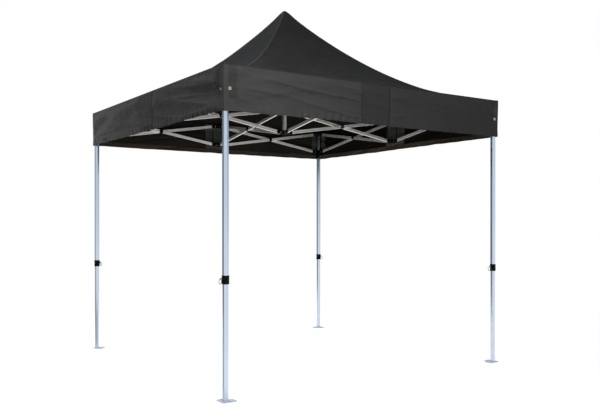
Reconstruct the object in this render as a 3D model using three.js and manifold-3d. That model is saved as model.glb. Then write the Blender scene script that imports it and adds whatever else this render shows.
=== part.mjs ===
// A 3 x 3 m pop-up canopy: hexagonal telescoping legs, a folding scissor truss, a sprung centre mast
// and a pyramid cover with a deep valance. Millimetres, +Z up, origin on the ground at the middle.
import * as THREE from 'three';
import { mergeVertices } from 'three/addons/utils/BufferGeometryUtils.js';
import Module from 'manifold-3d';

const wasm = await Module();
wasm.setup();

// ---- driving dimensions -------------------------------------------------------------------
const GAP = 0.3;                // play between two sliding or touching pieces
const LEG_HALF_SPAN = 1455;     // leg axis to the frame's middle, along X and along Y
const TOP_PIN_Z = 2483;         // upper row of truss pins
const LOW_PIN_Z = 2262;         // lower row of truss pins

const CANOPY_HALF = 1490;       // half the cover's outside width
const CLOTH = 2.5;              // thickness of the cover's solid
const VALANCE_BOTTOM_Z = 2169;
const EAVE_Z = 2518;
const PEAK_RISE = 977;          // peak above the eave
const ROOF_POWER = 1.85;        // how hollow the roof hangs between peak and eave
const ROOF_REACH = 1.0034;      // roof curve parameter at the eave
const PEAK_FLAT = 28;           // half-width of the flat that the mast cap pushes up
const PEAK_FLAT_Z = 3488;
const ROOF_RINGS = [150, 372, 670, 1043];   // half-widths where the roof's slope changes

const OUTER_LEG_R = 25;         // hexagon corner radius of the outer leg
const OUTER_LEG_WALL = 1.8;
const INNER_LEG_R = 22.4;
const INNER_LEG_WALL = 1.6;
const OUTER_LEG_BOTTOM_Z = 884;
const LEG_TOP_Z = 2508;
const INNER_LEG_TOP_Z = 1450;
const FOOT_THICK = 5;
const FOOT_OUT = 41;            // foot plate's outer corner, from the leg axis
const FOOT_TAB_WIDTH = 78;
const FOOT_TAB_REACH = 80;
const FOOT_CHAMFER = 14;
const STAKE_HOLE_R = 6;
const STAKE_HOLE_AT = 62;

const COLLAR_R = 29;
const COLLAR_Z = [877, 943];
const COLLAR_LIP = 6;           // the collar's bottom lip, below the outer leg's end
const HEIGHT_PIN_Z = 918;
const SLIDER_Z = [2186, 2284];
const SLIDER_PIN_Z = 2207;
const SLEEVE_R = 29;            // hexagon corner radius of a slider's lower sleeve
const HEAD_HALF = 27;           // half-width of the square heads on leg and slider
const HEAD_RISE = 20;           // head above and below its truss pins
const LEG_CAP_RISE = 5;         // leg tube's end above its head

const PIN_R = 4;                // corner radius of every hexagonal pin
const PIN_HOLE_R = 5.1;         // corner radius of the holes the pins turn in
const PIN_BITE = 1;             // how far a cross pin runs into the wall that carries it
const KNOB_R = 8;               // thick part of a spring pin
const KNOB_AT = [34, 40];       // where that part starts and ends, from the leg axis
const RING_R = 20;
const RING_WIRE_R = 2;
const RING_AT = 44;             // ring's plane, from the leg axis

const BAR_HEIGHT = 32;
const BAR_THICK = 16;
const BAR_WALL = 1.5;
const BAR_OFFSET = 9;           // each bar's middle, beside its scissor's middle plane
const CHEEK = 3.5;              // fork cheek thickness
const CHEEK_GAP = 0.5;          // bar to cheek, each side
const CHEEK_HALF_HEIGHT = 13;
const CHEEK_PAST_PIN = 11;
const FORK_ROOM = BAR_HEIGHT / 2 + 1;       // pin to the fork's base, so a bar's round end clears it
const LEG_PIN = 46;             // leg axis to its truss pins
const MID_PIN = 34;             // side's middle to its side-bar pins
const MID_ARM_PIN = 38;         // side's middle to its arm pin
const HUB_PIN = 42;             // mast axis to an arm's pin
const MID_HALF = [18, 17];      // middle block's half-width along and across the arm
const HUB_HALF = 25;
const BLOCK_RISE = 18;          // blocks above and below their pins

const MAST_LOWER = 30;          // square tube widths
const MAST_UPPER = 25;
const MAST_WALL = 1.5;
const MAST_LOWER_TOP_Z = 2960;
const MAST_UPPER_BOTTOM_Z = 2640;
const CAP_SOCKET = 4;           // how far the upper mast stands inside its cap
const MAST_CAP = [[0, 3448], [36, 3448], [36, 3456], [28, 3466], [14, 3472], [0, 3474]];

// ---- materials ----------------------------------------------------------------------------
const finish = (color, roughness, metalness) => () =>
  new THREE.MeshStandardMaterial({ color, roughness, metalness });
const cloth = finish(0x2d2d2f, 0.85, 0);
const anodised = finish(0xb9c3cf, 0.35, 0.9);
const barMetal = finish(0xb4b2ac, 0.4, 0.85);
const blackPlastic = finish(0x18181a, 0.5, 0);
const steel = finish(0xc9ccd0, 0.25, 1);

// ---- solids -------------------------------------------------------------------------------
function solidOf(geometry) {
  const bare = geometry.index ? geometry.toNonIndexed() : geometry.clone();
  bare.deleteAttribute('normal');
  bare.deleteAttribute('uv');
  const merged = mergeVertices(bare, 1e-3);
  const vertProperties = new Float32Array(merged.attributes.position.array);
  const triVerts = new Uint32Array(merged.index.array);
  return new wasm.Manifold(new wasm.Mesh({ numProp: 3, vertProperties, triVerts }));
}

function geometryOf(solid) {
  const { vertProperties, triVerts } = solid.getMesh();
  const geometry = new THREE.BufferGeometry();
  geometry.setAttribute('position', new THREE.BufferAttribute(vertProperties, 3));
  geometry.setIndex(new THREE.BufferAttribute(triVerts, 1));
  return geometry;
}

// A box from its lowest corner to its highest one.
function box(low, high) {
  const size = high.map((h, k) => h - low[k]);
  const geometry = new THREE.BoxGeometry(...size);
  return solidOf(geometry.translate(...low.map((l, k) => l + size[k] / 2)));
}

// A closed outline in X and Y, raised from one height to another.
function prism(outline, z0, z1) {
  const shape = new THREE.Shape(outline.map(([x, y]) => new THREE.Vector2(x, y)));
  const geometry = new THREE.ExtrudeGeometry(shape, { depth: z1 - z0, bevelEnabled: false });
  return solidOf(geometry.translate(0, 0, z0));
}

function polygon(sides, radius, firstAngle = 0) {
  return Array.from({ length: sides }, (_, k) => {
    const angle = firstAngle + (2 * Math.PI * k) / sides;
    return [radius * Math.cos(angle), radius * Math.sin(angle)];
  });
}

// A leg's hexagon has a corner on the Y axis and flat faces on the X axis.
const legHexagon = (radius, z0, z1) => prism(polygon(6, radius, Math.PI / 6), z0, z1);

// A hexagonal rod from one point to another, for pins and the holes that they turn in.
function rod(from, to, radius) {
  const start = new THREE.Vector3(...from);
  const along = new THREE.Vector3(...to).sub(start);
  const shape = new THREE.Shape(polygon(6, radius).map(([x, y]) => new THREE.Vector2(x, y)));
  const geometry = new THREE.ExtrudeGeometry(shape, { depth: along.length(), bevelEnabled: false });
  const turn = new THREE.Quaternion().setFromUnitVectors(new THREE.Vector3(0, 0, 1), along.normalize());
  return solidOf(geometry.applyQuaternion(turn).translate(...from));
}

const union = (solids) => solids.reduce((sum, next) => sum.add(next));
const cut = (solid, tools) => tools.reduce((rest, tool) => rest.subtract(tool), solid);

// ---- the frame's plan ---------------------------------------------------------------------
// Side k faces along OUT[k]; corner k joins side k and side k + 1.
const OUT = [[1, 0], [0, 1], [-1, 0], [0, -1]];
const SIDE_NAMES = ['right', 'back', 'left', 'front'];
const CORNER_NAMES = ['back_right', 'back_left', 'front_left', 'front_right'];
const out = (k) => OUT[k % 4];

// A plan point given by its reach along one direction and along the direction 90 degrees on.
const planPoint = (k, reach, across) => [
  out(k)[0] * reach + out(k + 1)[0] * across,
  out(k)[1] * reach + out(k + 1)[1] * across,
];
const cornerPoint = (k) => planPoint(k, LEG_HALF_SPAN, LEG_HALF_SPAN);
const sidePoint = (k) => planPoint(k, LEG_HALF_SPAN, 0);

// A box in a local frame whose X runs along direction k, placed at a plan point.
function turnedBox(k, low, high, at = [0, 0]) {
  const a = planPoint(k, low[0], low[1]);
  const b = planPoint(k, high[0], high[1]);
  const lo = [Math.min(a[0], b[0]) + at[0], Math.min(a[1], b[1]) + at[1], low[2]];
  const hi = [Math.max(a[0], b[0]) + at[0], Math.max(a[1], b[1]) + at[1], high[2]];
  return box(lo, hi);
}

// A fork that holds one bar: two cheeks on a base, joined by the pin the bar turns on.
// Direction k points from the bracket to the bar; offset is the bar's middle, along k + 1.
function fork(k, at, offset, pinReach, pinZ) {
  const half = BAR_THICK / 2 + CHEEK_GAP;
  const base = pinReach - FORK_ROOM;
  const tip = pinReach + CHEEK_PAST_PIN;
  const low = pinZ - CHEEK_HALF_HEIGHT;
  const high = pinZ + CHEEK_HALF_HEIGHT;
  const cheek = (from, to) => turnedBox(k, [base - CHEEK, from, low], [tip, to, high], at);
  const pinEnd = (across) => {
    const [x, y] = planPoint(k, pinReach, across);
    return [x + at[0], y + at[1], pinZ];
  };
  const reach = half + CHEEK;
  return union([
    turnedBox(k, [base - CHEEK, offset - reach, low], [base, offset + reach, high], at),
    cheek(offset - reach, offset - half),
    cheek(offset + half, offset + reach),
    rod(pinEnd(offset - reach + PIN_BITE), pinEnd(offset + reach - PIN_BITE), PIN_R),
  ]);
}

// ---- bars ---------------------------------------------------------------------------------
// A rectangular tube between two pins, with rounded ends. Direction k is the bar's plan direction,
// start and end its two pin centres. The bar that carries the scissor's cross pin is the pinned one.
function bar(k, start, end, crossPin) {
  const rise = end[2] - start[2];
  const run = Math.hypot(end[0] - start[0], end[1] - start[1]);
  const length = Math.hypot(run, rise);
  const half = BAR_HEIGHT / 2;
  const slant = half * Math.SQRT1_2;
  const side = [
    [-half, 0], [-slant, -slant], [0, -half], [length, -half], [length + slant, -slant],
    [length + half, 0], [length + slant, slant], [length, half], [0, half], [-slant, slant],
  ];
  const bare = half - BAR_WALL;
  const thin = BAR_THICK / 2 - BAR_WALL;
  const tube = cut(prism(side, -BAR_THICK / 2, BAR_THICK / 2), [
    box([-BAR_HEIGHT, -bare, -thin], [length + BAR_HEIGHT, bare, thin]),
    rod([0, 0, -BAR_THICK], [0, 0, BAR_THICK], PIN_HOLE_R),
    rod([length, 0, -BAR_THICK], [length, 0, BAR_THICK], PIN_HOLE_R),
  ]);
  const middle = length / 2;
  const reach = 2 * BAR_OFFSET + BAR_THICK / 2;
  const whole = crossPin
    ? tube.add(rod([middle, 0, -crossPin * (thin + PIN_BITE)], [middle, 0, crossPin * reach], PIN_R))
    : tube.subtract(rod([middle, 0, -BAR_THICK], [middle, 0, BAR_THICK], PIN_HOLE_R));
  const along = new THREE.Vector3(...end).sub(new THREE.Vector3(...start)).normalize();
  const across = new THREE.Vector3(out(k + 3)[0], out(k + 3)[1], 0);
  const upward = new THREE.Vector3().crossVectors(across, along);
  const place = new THREE.Matrix4().makeBasis(along, upward, across).setPosition(...start);
  return geometryOf(whole).applyMatrix4(place);
}

// ---- the object ---------------------------------------------------------------------------
const canopyFrame = new THREE.Group();
function put(name, geometry, material) {
  const mesh = new THREE.Mesh(geometry, material());
  mesh.name = name;
  canopyFrame.add(mesh);
}

// Cover: square rings from the peak to the valance's hem, outside less inside.
function addCanopy() {
  const roofZ = (w) => EAVE_Z + PEAK_RISE * (1 - (ROOF_REACH * w) / CANOPY_HALF) ** ROOF_POWER;
  const rings = [[PEAK_FLAT, PEAK_FLAT_Z], ...ROOF_RINGS.map((w) => [w, roofZ(w)]), [CANOPY_HALF, EAVE_Z]];
  const frustum = ([w0, z0], [w1, z1]) => {
    const square = (w, z) => [[w, w, z], [-w, w, z], [-w, -w, z], [w, -w, z]];
    const corners = [...square(w0, z0), ...square(w1, z1)];
    const faces = [[0, 1, 2], [0, 2, 3], [4, 6, 5], [4, 7, 6]];
    for (let k = 0; k < 4; k += 1) {
      const next = (k + 1) % 4;
      faces.push([k, 4 + k, next], [next, 4 + k, 4 + next]);
    }
    const geometry = new THREE.BufferGeometry();
    const points = faces.flat().flatMap((index) => corners[index]);
    geometry.setAttribute('position', new THREE.Float32BufferAttribute(points, 3));
    return solidOf(geometry);
  };
  const tent = (list, bottom) => {
    const roof = list.slice(1).map((ring, k) => frustum(list[k], ring));
    const [eaveHalf, eaveZ] = list[list.length - 1];
    return union([...roof, box([-eaveHalf, -eaveHalf, bottom], [eaveHalf, eaveHalf, eaveZ])]);
  };
  const inside = rings.map(([w, z], k) => {
    const [wide, low] = rings[Math.min(k + 1, rings.length - 1)];
    const slope = k < rings.length - 1 ? (z - low) / (wide - w) : 0;
    return [Math.min(w, CANOPY_HALF - CLOTH), z - CLOTH * Math.hypot(1, slope)];
  });
  const whole = tent(rings, VALANCE_BOTTOM_Z).subtract(tent(inside, VALANCE_BOTTOM_Z - CLOTH));
  put('canopy', geometryOf(whole), cloth);
}

// Mast hubs: a square block with four forks; the lower one also carries the lower mast tube.
function addHubsAndMast() {
  const hub = (z, offset) => union([
    box([-HUB_HALF, -HUB_HALF, z - BLOCK_RISE], [HUB_HALF, HUB_HALF, z + BLOCK_RISE]),
    ...OUT.map((_, k) => fork(k, [0, 0], offset, HUB_PIN, z)),
  ]);
  const square = (width, z0, z1) => box([-width / 2, -width / 2, z0], [width / 2, width / 2, z1]);
  const top = TOP_PIN_Z + BLOCK_RISE;
  const passage = square(MAST_LOWER + 5 * GAP, TOP_PIN_Z - 2 * BLOCK_RISE, top + BLOCK_RISE);
  put('hub_top', geometryOf(hub(TOP_PIN_Z, BAR_OFFSET).subtract(passage)), blackPlastic);

  const bore = MAST_LOWER - 2 * MAST_WALL;
  const lower = hub(LOW_PIN_Z, -BAR_OFFSET)
    .add(square(MAST_LOWER, LOW_PIN_Z, MAST_LOWER_TOP_Z))
    .subtract(square(bore, LOW_PIN_Z, MAST_LOWER_TOP_Z + 1));
  put('hub_bottom_with_lower_mast', geometryOf(lower), blackPlastic);

  const profile = MAST_CAP.map(([r, z]) => new THREE.Vector2(r, z));
  const cap = solidOf(new THREE.LatheGeometry(profile, 12).rotateX(Math.PI / 2));
  const capBottom = MAST_CAP[0][1];
  const upper = square(MAST_UPPER, MAST_UPPER_BOTTOM_Z, capBottom + CAP_SOCKET)
    .subtract(square(MAST_UPPER - 2 * MAST_WALL, MAST_UPPER_BOTTOM_Z - 1, capBottom))
    .add(cap);
  put('mast_upper_with_cap', geometryOf(upper), anodised);
}

// Four centre arms, each one scissor from the mast to the middle of a side.
function addArms() {
  SIDE_NAMES.forEach((side, k) => {
    const pin = (reach, offset, z) => [...planPoint(k, reach, offset), z];
    const far = LEG_HALF_SPAN - MID_ARM_PIN;
    const upper = [pin(HUB_PIN, BAR_OFFSET, TOP_PIN_Z), pin(far, BAR_OFFSET, LOW_PIN_Z)];
    const lower = [pin(HUB_PIN, -BAR_OFFSET, LOW_PIN_Z), pin(far, -BAR_OFFSET, TOP_PIN_Z)];
    put(`arm_${side}_upper`, bar(k, ...upper, 1), barMetal);
    put(`arm_${side}_lower`, bar(k, ...lower, 0), barMetal);
  });
}

// Middle of each side: an upper and a lower bracket, and four bars that reach the two legs.
function addSides() {
  SIDE_NAMES.forEach((side, k) => {
    const at = sidePoint(k);
    const bracket = (z, sideOffset, armOffset) => union([
      turnedBox(k, [...MID_HALF.map((h) => -h), z - BLOCK_RISE], [...MID_HALF, z + BLOCK_RISE], at),
      fork(k + 1, at, -sideOffset, MID_PIN, z),
      fork(k + 3, at, sideOffset, MID_PIN, z),
      fork(k + 2, at, -armOffset, MID_ARM_PIN, z),
    ]);
    put(`middle_${side}_upper`, geometryOf(bracket(TOP_PIN_Z, BAR_OFFSET, -BAR_OFFSET)), blackPlastic);
    put(`middle_${side}_lower`, geometryOf(bracket(LOW_PIN_Z, -BAR_OFFSET, BAR_OFFSET)), blackPlastic);

    [1, -1].forEach((way) => {
      const end = way > 0 ? 'a' : 'b';
      const toward = way > 0 ? k + 1 : k + 3;
      const pin = (across, offset, z) => [...planPoint(k, LEG_HALF_SPAN + offset, way * across), z];
      const near = MID_PIN;
      const far = LEG_HALF_SPAN - LEG_PIN;
      const rising = [pin(near, -BAR_OFFSET, LOW_PIN_Z), pin(far, -BAR_OFFSET, TOP_PIN_Z)];
      const falling = [pin(near, BAR_OFFSET, TOP_PIN_Z), pin(far, BAR_OFFSET, LOW_PIN_Z)];
      put(`bar_${side}_${end}_rising`, bar(toward, ...rising, -way), barMetal);
      put(`bar_${side}_${end}_falling`, bar(toward, ...falling, 0), barMetal);
    });
  });
}

// A square head on a hexagonal leg, with one fork toward each neighbouring side's middle.
function cornerHead(k, z, offset, low, high) {
  const at = cornerPoint(k);
  const half = HEAD_HALF;
  return union([
    box([at[0] - half, at[1] - half, low], [at[0] + half, at[1] + half, high]),
    fork(k + 3, at, offset, LEG_PIN, z),
    fork(k + 2, at, -offset, LEG_PIN, z),
  ]);
}

const placed = (solid, [x, y]) => solid.translate([x, y, 0]);

// A spring pin with a pull ring that hangs at its outer end. Its tip stops just short of the tube
// that it locks, so that the tube can slide past it.
function ringPin(k, at, z, tip) {
  const [dx, dy] = out(k);
  const point = (reach) => [at[0] + dx * reach, at[1] + dy * reach, z];
  const ring = new THREE.TorusGeometry(RING_R, RING_WIRE_R, 6, 14);
  if (dx !== 0) ring.rotateX(Math.PI / 2).rotateZ(Math.PI / 2);
  else ring.rotateX(Math.PI / 2);
  const [x, y] = point(RING_AT);
  return union([
    rod(point(tip), point(RING_AT + RING_WIRE_R), PIN_R),
    rod(point(KNOB_AT[0]), point(KNOB_AT[1]), KNOB_R),
    solidOf(ring.translate(x, y, z - RING_R + RING_WIRE_R / 2)),
  ]);
}

// The side each pin is pulled out of: height pins along X, slider pins toward the next leg.
const HEIGHT_PIN_SIDE = [0, 0, 2, 2];
const SLIDER_PIN_SIDE = [3, 0, 1, 2];

function addLegs() {
  const pinHole = (k, at, z) => {
    const [dx, dy] = out(k);
    const reach = 2 * HEAD_HALF;
    return rod([at[0], at[1], z], [at[0] + dx * reach, at[1] + dy * reach, z], PIN_HOLE_R);
  };
  const heightTip = (INNER_LEG_R * Math.sqrt(3)) / 2 + GAP;
  const sliderTip = OUTER_LEG_R + GAP;
  CORNER_NAMES.forEach((corner, k) => {
    const at = cornerPoint(k);
    const heightHole = pinHole(HEIGHT_PIN_SIDE[k], at, HEIGHT_PIN_Z);
    const sliderHole = pinHole(SLIDER_PIN_SIDE[k], at, SLIDER_PIN_Z);

    const headLow = TOP_PIN_Z - HEAD_RISE;
    const bore = OUTER_LEG_R - (2 * OUTER_LEG_WALL) / Math.sqrt(3);
    const outerLeg = cornerHead(k, TOP_PIN_Z, -BAR_OFFSET, headLow, LEG_TOP_Z - LEG_CAP_RISE)
      .add(placed(legHexagon(OUTER_LEG_R, OUTER_LEG_BOTTOM_Z, LEG_TOP_Z), at))
      .subtract(placed(legHexagon(bore, OUTER_LEG_BOTTOM_Z - 1, headLow), at));
    put(`leg_outer_${corner}`, geometryOf(cut(outerLeg, [heightHole, sliderHole])), anodised);

    const sleeveHole = placed(legHexagon(OUTER_LEG_R + GAP, COLLAR_Z[0] + COLLAR_LIP, SLIDER_Z[1] + 1), at);
    const throat = placed(legHexagon(INNER_LEG_R + 2 * GAP, COLLAR_Z[0] - 1, COLLAR_Z[1]), at);
    const collar = placed(legHexagon(COLLAR_R, ...COLLAR_Z), at);
    put(`collar_${corner}`, geometryOf(cut(collar, [sleeveHole, throat, heightHole])), blackPlastic);

    const slider = cornerHead(k, LOW_PIN_Z, BAR_OFFSET, LOW_PIN_Z - HEAD_RISE, SLIDER_Z[1])
      .add(placed(legHexagon(SLEEVE_R, SLIDER_Z[0], LOW_PIN_Z), at));
    put(`slider_${corner}`, geometryOf(cut(slider, [sleeveHole, sliderHole])), blackPlastic);

    put(`leg_inner_${corner}`, geometryOf(innerLeg(k, at)), anodised);
    const heightPin = ringPin(HEIGHT_PIN_SIDE[k], at, HEIGHT_PIN_Z, heightTip);
    const sliderPin = ringPin(SLIDER_PIN_SIDE[k], at, SLIDER_PIN_Z, sliderTip);
    put(`height_pin_${corner}`, geometryOf(heightPin), steel);
    put(`slider_pin_${corner}`, geometryOf(sliderPin), steel);
  });
}

// Inner leg: a hexagonal tube on a welded L-shaped foot plate with a stake hole in each tab.
function innerLeg(k, at) {
  const c = FOOT_CHAMFER;
  const [o, w, r] = [FOOT_OUT, FOOT_OUT - FOOT_TAB_WIDTH, FOOT_TAB_REACH];
  const outline = [
    [o - c, o], [-r + c, o], [-r, o - c], [-r, w + c], [-r + c, w], [w, w],
    [w, -r + c], [w + c, -r], [o - c, -r], [o, -r + c], [o, o - c],
  ];
  const turned = outline.map(([x, y]) => planPoint(k, x, y));
  const hole = (x, y) => {
    const [hx, hy] = planPoint(k, x, y);
    return prism(polygon(8, STAKE_HOLE_R).map(([a, b]) => [a + hx, b + hy]), -1, FOOT_THICK + 1);
  };
  const tabMiddle = o - FOOT_TAB_WIDTH / 2;
  const holes = [hole(-STAKE_HOLE_AT, tabMiddle), hole(tabMiddle, -STAKE_HOLE_AT)];
  const plate = cut(prism(turned, 0, FOOT_THICK), holes);
  const bore = INNER_LEG_R - (2 * INNER_LEG_WALL) / Math.sqrt(3);
  const tube = legHexagon(INNER_LEG_R, FOOT_THICK / 2, INNER_LEG_TOP_Z)
    .subtract(legHexagon(bore, FOOT_THICK, INNER_LEG_TOP_Z + 1));
  return placed(plate.add(tube), at);
}

addCanopy();
addHubsAndMast();
addArms();
addSides();
addLegs();

export default canopyFrame;
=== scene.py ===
"""Looks for the pop-up canopy: its cloth cover, moulded and metal details, finishes, light and camera.

Metres, +Z up, in the CAD frame. Side k faces OUT[k]; corner k joins side k and side k + 1.
"""

import math

import bmesh
import bpy
from mathutils import Matrix, Vector, noise
from mathutils.geometry import tessellate_polygon


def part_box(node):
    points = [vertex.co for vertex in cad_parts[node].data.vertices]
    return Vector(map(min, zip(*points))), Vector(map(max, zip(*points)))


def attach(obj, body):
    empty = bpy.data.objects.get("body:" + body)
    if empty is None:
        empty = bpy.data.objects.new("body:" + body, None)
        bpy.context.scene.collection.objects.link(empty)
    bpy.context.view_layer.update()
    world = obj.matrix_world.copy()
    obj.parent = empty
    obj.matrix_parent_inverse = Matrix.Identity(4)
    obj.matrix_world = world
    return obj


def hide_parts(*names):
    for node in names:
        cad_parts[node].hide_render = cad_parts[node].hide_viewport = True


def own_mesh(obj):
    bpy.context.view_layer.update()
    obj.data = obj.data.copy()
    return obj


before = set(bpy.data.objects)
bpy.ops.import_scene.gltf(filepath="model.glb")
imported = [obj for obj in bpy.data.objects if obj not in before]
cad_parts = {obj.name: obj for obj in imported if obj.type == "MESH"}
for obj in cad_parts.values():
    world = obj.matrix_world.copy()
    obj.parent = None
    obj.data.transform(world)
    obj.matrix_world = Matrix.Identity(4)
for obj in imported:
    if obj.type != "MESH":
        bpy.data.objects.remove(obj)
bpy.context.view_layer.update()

OUT = [Vector((1, 0, 0)), Vector((0, 1, 0)), Vector((-1, 0, 0)), Vector((0, -1, 0))]
UP = Vector((0, 0, 1))
SIDES = ["right", "back", "left", "front"]
CORNERS = ["back_right", "back_left", "front_left", "front_right"]


def out(k):
    return OUT[k % 4]


# ---- sizes, from the frame ----------------------------------------------------------------
canopy_low, canopy_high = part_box("canopy")
W = canopy_high[0]                      # half the cover's width
HEM_Z = canopy_low[2]
leg_low, leg_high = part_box("leg_outer_back_right")
LEG_TOP_Z = leg_high[2]
EAVE_Z = LEG_TOP_Z + 0.010              # the cover's edge lies over the leg tops
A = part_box("collar_back_right")[1][0] - 0.0251     # leg axis to the middle
TOP_Z = sum(p[2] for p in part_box("middle_right_upper")) / 2   # upper row of pins
LOW_Z = sum(p[2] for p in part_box("middle_right_lower")) / 2   # lower row of pins
COLLAR_Z = (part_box("collar_back_right")[0][2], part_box("collar_back_right")[1][2])
SLIDER_Z = (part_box("slider_back_right")[0][2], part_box("slider_back_right")[1][2])
LEG_R = 0.025                           # outer leg, corner radius
LEG_BOTTOM_Z = leg_low[2]
INNER_R = 0.0224
INNER_TOP_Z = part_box("leg_inner_back_right")[1][2]
FOOT_THICK = 0.005
HEIGHT_PIN_Z = 0.918
SLIDER_PIN_Z = 2.207
MAST_LOWER_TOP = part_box("hub_bottom_with_lower_mast")[1][2]
HUB_PIN, MID_PIN, MID_ARM_PIN, LEG_PIN = 0.042, 0.034, 0.038, 0.046
BAR_OFFSET, BAR_HALF_THICK, BAR_HALF_HIGH = 0.009, 0.008, 0.016

ROOF_RISE = 0.977
ROOF_POWER = 1.80
ROOF_REACH = 1.0034
CLOTH_THICK = 0.0009
EAVE_ROUND = 0.009
PATCH_HALF = 0.155                      # peak reinforcement, half-width
PANEL_HALF = 0.152                      # valance's middle reinforcement, half-width
PANEL_AT = [0.0, 0.0, 0.0, -0.032]      # its middle along each side
CLEAR_OF_LEG = 0.008                    # most that a fold goes in from the cover's side
HEM_DEPTH = 0.026
HEM_INSIDE_HIGH = 0.050


# ---- mesh helpers -------------------------------------------------------------------------
def mesh_object(name, points, faces, materials, smooth=True, face_slots=None):
    mesh = bpy.data.meshes.new(name)
    mesh.from_pydata([tuple(p) for p in points], [], faces)
    for m in materials:
        mesh.materials.append(m)
    if face_slots:
        mesh.polygons.foreach_set("material_index", face_slots)
    mesh.polygons.foreach_set("use_smooth", [smooth] * len(mesh.polygons))
    mesh.update()
    obj = bpy.data.objects.new(name, mesh)
    bpy.context.collection.objects.link(obj)
    return obj


def grid_faces(rows, columns, first=0, flip=False):
    faces = []
    for i in range(rows - 1):
        for j in range(columns - 1):
            a = first + i * columns + j
            quad = (a, a + 1, a + columns + 1, a + columns)
            faces.append(quad[::-1] if flip else quad)
    return faces


def sharp_border(obj):
    """Keeps a sheet's rim from rounding the shading of its face."""
    mesh = obj.data
    uses = {}
    for polygon in mesh.polygons:
        for key in polygon.edge_keys:
            uses[key] = uses.get(key, 0) + 1
    for edge in mesh.edges:
        edge.use_edge_sharp = uses[edge.key] == 1


def placed_at(origin, x_axis, y_axis):
    """The frame at origin whose X and Y run along the given axes."""
    z_axis = x_axis.cross(y_axis)
    rows = [(x_axis[r], y_axis[r], z_axis[r], origin[r]) for r in range(3)]
    return Matrix([*rows, (0, 0, 0, 1)])


def rounded_polygon(sides, radius, corner, first_angle, steps=3):
    """A regular polygon's outline with round corners."""
    points = []
    half = math.pi / sides
    inner = radius - corner / math.cos(half)
    for k in range(sides):
        angle = first_angle + 2 * math.pi * k / sides
        for s in range(steps + 1):
            a = angle - half + 2 * half * s / steps
            points.append((inner * math.cos(angle) + corner * math.cos(a),
                           inner * math.sin(angle) + corner * math.sin(a)))
    return points


def rounded_outline(corners, radius, steps=4):
    """A closed outline of straight runs whose corners are rounded to the given radius."""
    points = []
    count = len(corners)
    for i in range(count):
        here = Vector(corners[i])
        before = (Vector(corners[i - 1]) - here).normalized()
        after = (Vector(corners[(i + 1) % count]) - here).normalized()
        for s in range(steps + 1):
            t = s / steps
            point = here + before * radius * (1 - t) ** 2 + after * radius * t**2
            points.append((point.x, point.y))
    return points


def rectangle(low, high, radius):
    (x0, y0), (x1, y1) = low, high
    return rounded_outline([(x0, y0), (x1, y0), (x1, y1), (x0, y1)], radius)


def centred(half_wide, half_high, radius):
    return rectangle((-half_wide, -half_high), (half_wide, half_high), radius)


def circle(radius, count):
    turns = [math.tau * i / count for i in range(count)]
    return [(radius * math.cos(a), radius * math.sin(a)) for a in turns]


def moved(outline, at):
    return [(x + at.x, y + at.y) for x, y in outline]


def leg_hexagon(at, radius, corner):
    return moved(rounded_polygon(6, radius, corner, math.pi / 6), at)


HERE = Matrix.Identity(4)


def raised(z):
    return Matrix.Translation(UP * z)


class Piece:
    """One object made of closed shells, each with its own finish."""

    def __init__(self, name, *materials):
        self.name, self.materials = name, materials
        self.mesh = bmesh.new()

    def shell(self, place, points, faces, finish):
        verts = [self.mesh.verts.new(place @ Vector(p)) for p in points]
        for corners in faces:
            face = self.mesh.faces.new([verts[i] for i in corners])
            face.material_index, face.smooth = finish, True

    def extrude(self, place, outline, low, high, finish=0, holes=()):
        """A solid of an outline from low to high along the place's Z, with through holes."""
        loops = [outline, *holes]
        flat = [p for loop in loops for p in loop]
        caps = [tuple(range(len(outline)))]
        if holes:
            caps = tessellate_polygon([[Vector((*p, 0)) for p in loop] for loop in loops])
        n = len(flat)
        points = [(*p, z) for z in (low, high) for p in flat]
        faces = [tuple(reversed(cap)) for cap in caps] + [tuple(i + n for i in cap) for cap in caps]
        first = 0
        for loop in loops:
            m = len(loop)
            for i in range(m):
                a, b = first + i, first + (i + 1) % m
                faces.append((a, b, b + n, a + n))
            first += m
        self.shell(place, points, faces, finish)

    def lathe(self, place, profile, finish=0, steps=28, ring=False):
        """A turned solid of (radius, height) points about the place's Z."""
        points, rows, faces = [], [], []
        for radius, z in profile:
            count = steps if radius > 1e-6 else 1
            rows.append([len(points) + i for i in range(count)])
            points += [(radius * math.cos(math.tau * i / steps), radius * math.sin(math.tau * i / steps), z)
                       for i in range(count)]
        for a, b in zip(rows, rows[1:] + rows[:1] if ring else rows[1:]):
            for i in range(steps):
                j = (i + 1) % steps
                corners = [a[i % len(a)], a[j % len(a)], b[j % len(b)], b[i % len(b)]]
                faces.append(tuple(dict.fromkeys(corners)))
        self.shell(place, points, faces, finish)

    def rod(self, place, low, high, radius, finish=0, steps=20):
        self.lathe(place, [(0, low), (radius, low), (radius, high), (0, high)], finish, steps)

    def dome(self, place, base, height, radius, finish=0):
        """A rivet's or bolt's round head, standing on base; a negative height points it the other way."""
        turns = (0, 0.4, 0.8, 1.2)
        arc = [(radius * math.cos(a), base + height * (0.35 + 0.65 * math.sin(a))) for a in turns]
        self.lathe(place, [(0, base), (radius, base), *arc, (0, base + height)], finish, 20)

    def done(self, body, *replaced, slot="black_plastic", edge=0.0008):
        bmesh.ops.recalc_face_normals(self.mesh, faces=self.mesh.faces)
        mesh = bpy.data.meshes.new(self.name)
        self.mesh.to_mesh(mesh)
        self.mesh.free()
        for material in self.materials:
            mesh.materials.append(material)
        obj = bpy.data.objects.new(self.name, mesh)
        bpy.context.collection.objects.link(obj)
        bevel = obj.modifiers.new("edges", "BEVEL")
        bevel.width, bevel.segments = edge, 2
        bevel.limit_method, bevel.angle_limit = "ANGLE", math.radians(42)
        flats = obj.modifiers.new("flats", "WEIGHTED_NORMAL")
        flats.keep_sharp = True
        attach(obj, body)
        if replaced:
            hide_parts(*replaced)
        return obj


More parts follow.
